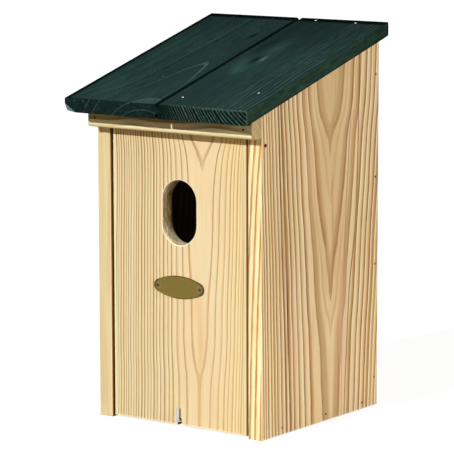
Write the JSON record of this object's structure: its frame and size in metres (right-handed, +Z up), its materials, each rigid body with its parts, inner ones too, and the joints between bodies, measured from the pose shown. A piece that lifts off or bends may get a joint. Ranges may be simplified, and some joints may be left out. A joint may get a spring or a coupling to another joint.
{
  "type": "nest box",
  "caption": "Wooden nest box with an oval entrance, a sloping tongued roof, and a front panel that swings out on nails and locks with a wire hook.",
  "frame": {"origin": "on the ground, in the middle of the box that encloses the whole nest box", "axes": "+Z up, the front with the entrance faces -Y, and +X is the right-hand side seen from the front"},
  "size_m": [0.166, 0.1814, 0.2944],
  "materials": {
    "bare_wood": "planed softwood, untreated",
    "green_stained_wood": "dark green wood stain, matt, with the grain showing",
    "plate_brass": "dull stamped brass",
    "nail_steel": "dark bright-drawn nail wire",
    "hook_wire": "bright zinc-plated wire"
  },
  "bodies": {
    "box": {"side_wall_left": "bare_wood", "side_wall_right": "bare_wood", "back_wall": "bare_wood", "floor_board": "bare_wood", "front_batten": "bare_wood", "roof_board_left": "green_stained_wood", "roof_board_right": "green_stained_wood", "pivot_nail_left": "nail_steel", "pivot_nail_right": "nail_steel"},
    "front": {"front_panel": "bare_wood", "name_plate": "plate_brass"},
    "latch": {"latch_hook": "hook_wire"}
  },
  "joints": [
    {"name": "front_swing", "type": "hinge", "parent": "box", "child": "front", "pos_m": [0, -0.0577, 0.215], "axis": [-1, 0, 0], "range_deg": [0, 90]},
    {"name": "latch_turn", "type": "hinge", "parent": "box", "child": "latch", "pos_m": [-0.0003, -0.045, 0.005], "axis": [0, -1, 0], "range_deg": [0, 180]}
  ]
}
